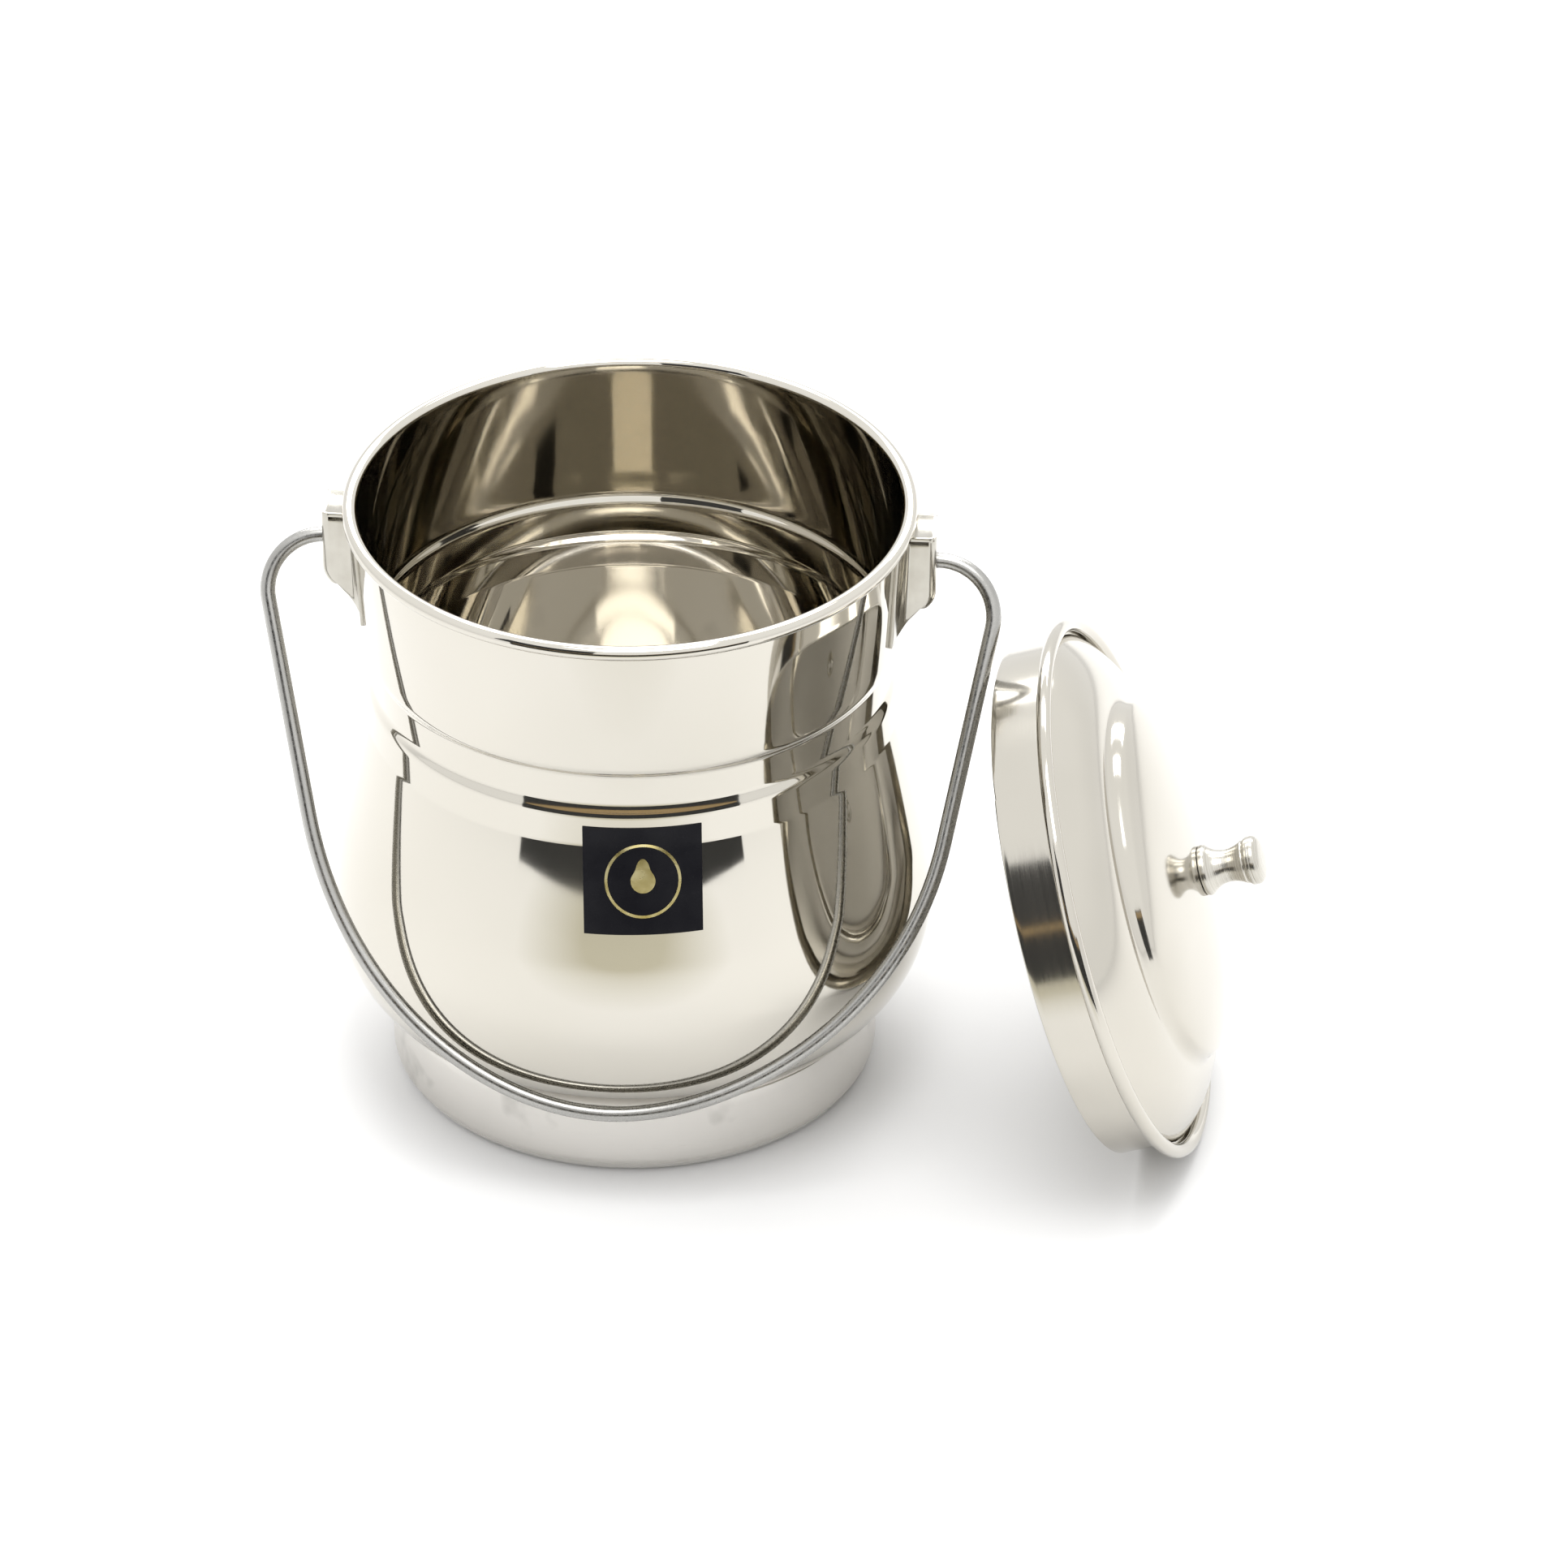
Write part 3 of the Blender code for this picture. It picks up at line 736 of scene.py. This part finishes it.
def make_lid_skirt(material, place):
    """A strip rolled into a ring, its outer end lapped over the inner one."""
    outline = sheet_outline(np.linspace((0.0, SKIRT_TOP + SKIRT_TUCK), (0.0, SKIRT_FOOT), 12))
    steps = TURN_STEPS + 4
    rows = []
    for swept in [(math.tau + SKIRT_LAP) * i / steps for i in range(steps + 1)]:
        angle = SKIRT_LAP_AT + SKIRT_LAP / 2 - swept
        joggled = min(1.0, max(0.0, (swept - SKIRT_LAP) / SKIRT_JOGGLE))
        middle = SKIRT_RADIUS - SHEET / 2 - (SHEET + SKIRT_LAP_GAP) * (1.0 - joggled)
        rows.append(turned_row(outline + np.array([middle, 0.0]), place, angle))
    lengths = np.linspace(0.0, 2 * (SKIRT_TOP - SKIRT_FOOT), len(outline) + 1)
    bm = swept_grid(rows, False, True, lengths)
    close_bar_ends(bm, len(outline))
    add_piece("skirt", mesh_of("skirt", bm), material, "lid", ["lid_skirt"])


def knob_outside():
    """The knob's outline above its foot: head, waist and flange, with turned grooves."""
    head = joined(
        bezier(((0.0, 15.0), (2.4, 15.0), (4.6, 14.9), (5.3, 14.2)), 10),
        bezier(((5.3, 14.2), (5.9, 13.7), (6.1, 13.2), (6.1, 12.6)), 6),
        bezier(((6.1, 12.6), (5.85, 12.45), (5.85, 12.25), (6.1, 12.1)), 6),
        bezier(((6.1, 12.1), (6.1, 11.7), (6.0, 11.3), (5.6, 11.0)), 6),
        bezier(((5.6, 11.0), (5.3, 10.8), (5.3, 10.5), (5.5, 10.3)), 6),
    )
    waist = bezier(((5.5, 10.3), (4.2, 8.6), (3.0, 4.4), (5.9, 1.5)), 22)
    flange = bezier(((5.9, 1.5), (6.3, 1.2), (6.35, 0.5), (6.1, -0.2)), 8)
    return joined(head, waist, flange)


def screw_outside():
    """The screw's outline: a shank, and below it a head with a round recess."""
    shank = [(0.0, 7.0), (1.8, 7.0), (1.8, 0.0), (3.6, 0.0)]
    head = bezier(((3.6, -0.9), (3.6, -1.5), (2.8, -1.8), (1.4, -1.8)), 10)
    recess = [(1.4, -1.0), (0.0, -1.0)]
    return joined(shank, head, recess)


def make_turned(name, outline, zero, material, place, node):
    """A solid of the lid, turned from an outline whose zero stands at a height on its axis."""
    bm = lathe(outline + np.array([0.0, zero]), KNOB_STEPS, place, closed=False)
    add_piece(name, mesh_of(name, bm), material, "lid", [node])


def make_knob_and_screw(material, place):
    """The knob with its bore, on the dome, and the screw that holds it from below."""
    outside = knob_outside()
    bore = [(KNOB_BORE, outside[-1][1]), (KNOB_BORE, KNOB_BORE_TOP), (0.0, KNOB_BORE_TOP)]
    top = DOME[0][1]
    knob = joined(outside, bore)
    make_turned("knob", knob, top + KNOB_ZERO, material, place, "lid_knob")
    under = top - SHEET - SCREW_GAP
    make_turned("screw", screw_outside(), under, material, place, "knob_screw")


# ---------------------------------------------------------------- studio


def stage_mesh(name, rows, material, seen=False):
    """A sheet of the studio over rows of points in metres. Unless seen, it only reflects."""
    bm = bmesh.new()
    grid = [[bm.verts.new(point) for point in row] for row in rows]
    for (a, b), (c, d) in zip(grid, grid[1:]):
        bm.faces.new((a, b, d, c))
    mesh = mesh_of(name, bm)
    mesh.materials.append(material)
    panel = new_object(name, mesh)
    if not seen:
        panel.visible_camera = False
        panel.visible_shadow = False
        panel.visible_diffuse = False
    return panel


def square(half):
    """Rows of points for a level square at height zero."""
    return [[(x, -half, 0.0), (x, half, 0.0)] for x in (-half, half)]


def flag(name, colour, radius, turns, heights):
    """A curved screen round the can, between two turns in degrees from its front."""
    rows = []
    for angle in np.radians(np.linspace(*turns, 33)):
        x, y = radius * math.sin(angle), -radius * math.cos(angle)
        rows.append([(x, y, height) for height in heights])
    stage_mesh(name, rows, new_material(name, colour, 0.9, metallic=0.0))


def painted_floor_shade(centre, radius):
    """A soft, warm patch of painted shade on the floor, darkest in its middle, that only shows in
    reflections.
    """
    material = new_material("painted_floor_shade", FLOOR_COLOUR, 0.9, metallic=0.0)
    coordinates = add_node(material, "ShaderNodeTexCoord")
    mapping = add_node(material, "ShaderNodeMapping", Scale=(1 / radius,) * 3)
    fade = add_node(material, "ShaderNodeTexGradient")
    fade.gradient_type = "SPHERICAL"
    link(material, coordinates.outputs["Object"], mapping.inputs["Vector"])
    link(material, mapping.outputs["Vector"], fade.inputs["Vector"])
    vary(material, fade.outputs["Fac"], "Base Color", FLOOR_COLOUR, PAINTED_SHADE_COLOUR, 0.0, 0.6)
    above_floor = 0.0005
    panel = stage_mesh("painted_floor_shade", square(radius), material)
    panel.location = (*centre, above_floor)


def add_light(name, radiance, width, height, place):
    """A soft rectangle of light of a given radiance that faces the can."""
    data = bpy.data.lights.new(name, "AREA")
    data.shape = "RECTANGLE"
    data.size, data.size_y = width, height
    data.energy = radiance * math.pi * width * height
    light = new_object(name, data)
    light.location = place
    light.rotation_euler = (LIGHT_AIM - Vector(place)).to_track_quat("-Z", "Y").to_euler()


def make_sky():
    """A white room that grows brighter from the horizon up."""
    world = bpy.data.worlds.new("studio")
    bpy.context.scene.world = world
    world.use_nodes = True
    tree = world.node_tree
    background = tree.nodes["Background"]
    background.inputs["Color"].default_value = (1.0, 1.0, 1.0, 1.0)
    direction = tree.nodes.new("ShaderNodeTexCoord")
    parts = tree.nodes.new("ShaderNodeSeparateXYZ")
    rise = tree.nodes.new("ShaderNodeMapRange")
    rise.interpolation_type = "SMOOTHSTEP"
    for name, value in zip(("From Min", "From Max", "To Min", "To Max"), SKY_RISE):
        rise.inputs[name].default_value = value
    tree.links.new(direction.outputs["Generated"], parts.inputs["Vector"])
    tree.links.new(parts.outputs["Z"], rise.inputs["Value"])
    tree.links.new(rise.outputs["Result"], background.inputs["Strength"])


def make_studio():
    """A pale floor with a patch of painted shade, a white room, and the screens and lights that the
    steel reflects.
    """
    floor = new_material("floor", FLOOR_COLOUR, 0.9, metallic=0.0)
    stage_mesh("floor", square(8.0), floor, seen=True)
    flag("front_flag", DARK, 0.50, turns=(-37.0, 47.0), heights=(0.024, 0.23))
    flag("warm_flag", BROWN, 0.495, turns=(-36.0, 46.0), heights=(0.195, 0.22))
    flag("left_flag", DARK, 1.0, turns=(-45.0, -8.0), heights=(0.30, 0.95))
    # A patch of painted shade on the floor in front of the can, seen only in reflections
    painted_floor_shade(centre=(0.02, -0.56), radius=0.34)
    make_sky()
    add_light("overhead_light", 5.0, 0.8, 0.8, place=(0.15, -0.45, 1.5))
    add_light("back_window", 4.6, 1.7, 0.42, place=(0.0, 1.32, 1.06))
    add_light("high_window", 4.5, 1.2, 0.35, place=(0.0, 0.62, 1.45))


def make_camera():
    """The camera: far off and nearly parallel, looking down at the can from its front."""
    data = bpy.data.cameras.new("camera")
    data.sensor_width = 36.0
    data.lens = CAMERA_LENS
    data.clip_end = 50.0
    camera = new_object("camera", data)
    level = Vector((math.sin(CAMERA_TURN), -math.cos(CAMERA_TURN), 0.0)) * math.cos(CAMERA_RISE)
    back = level + Vector((0.0, 0.0, math.sin(CAMERA_RISE)))
    camera.location = CAMERA_AIM * MM + back * (CAMERA_DISTANCE * MM)
    camera.rotation_euler = (-back).to_track_quat("-Z", "Y").to_euler()
    bpy.context.scene.camera = camera


def main():
    make_body(mirror_steel())
    make_foot(satin_steel())
    brackets = ear_steel()
    make_ear("ear_right", 1, "right_ear", brackets)
    make_ear("ear_left", -1, "left_ear", brackets)
    make_bail(drawn_wire())
    make_label(label_black())
    make_mark(gold_foil())
    place = lid_place()
    make_lid_shell(lid_steel("lid_steel", 0.06, 0.13), place)
    make_lid_skirt(lid_steel("skirt_steel", 0.10, 0.17), place)
    make_knob_and_screw(turned_steel(), place)
    make_studio()
    make_camera()
    scene = bpy.context.scene
    scene.view_settings.view_transform = "Standard"
    scene.cycles.glossy_bounces = 12  # light bounces many times inside the can


main()
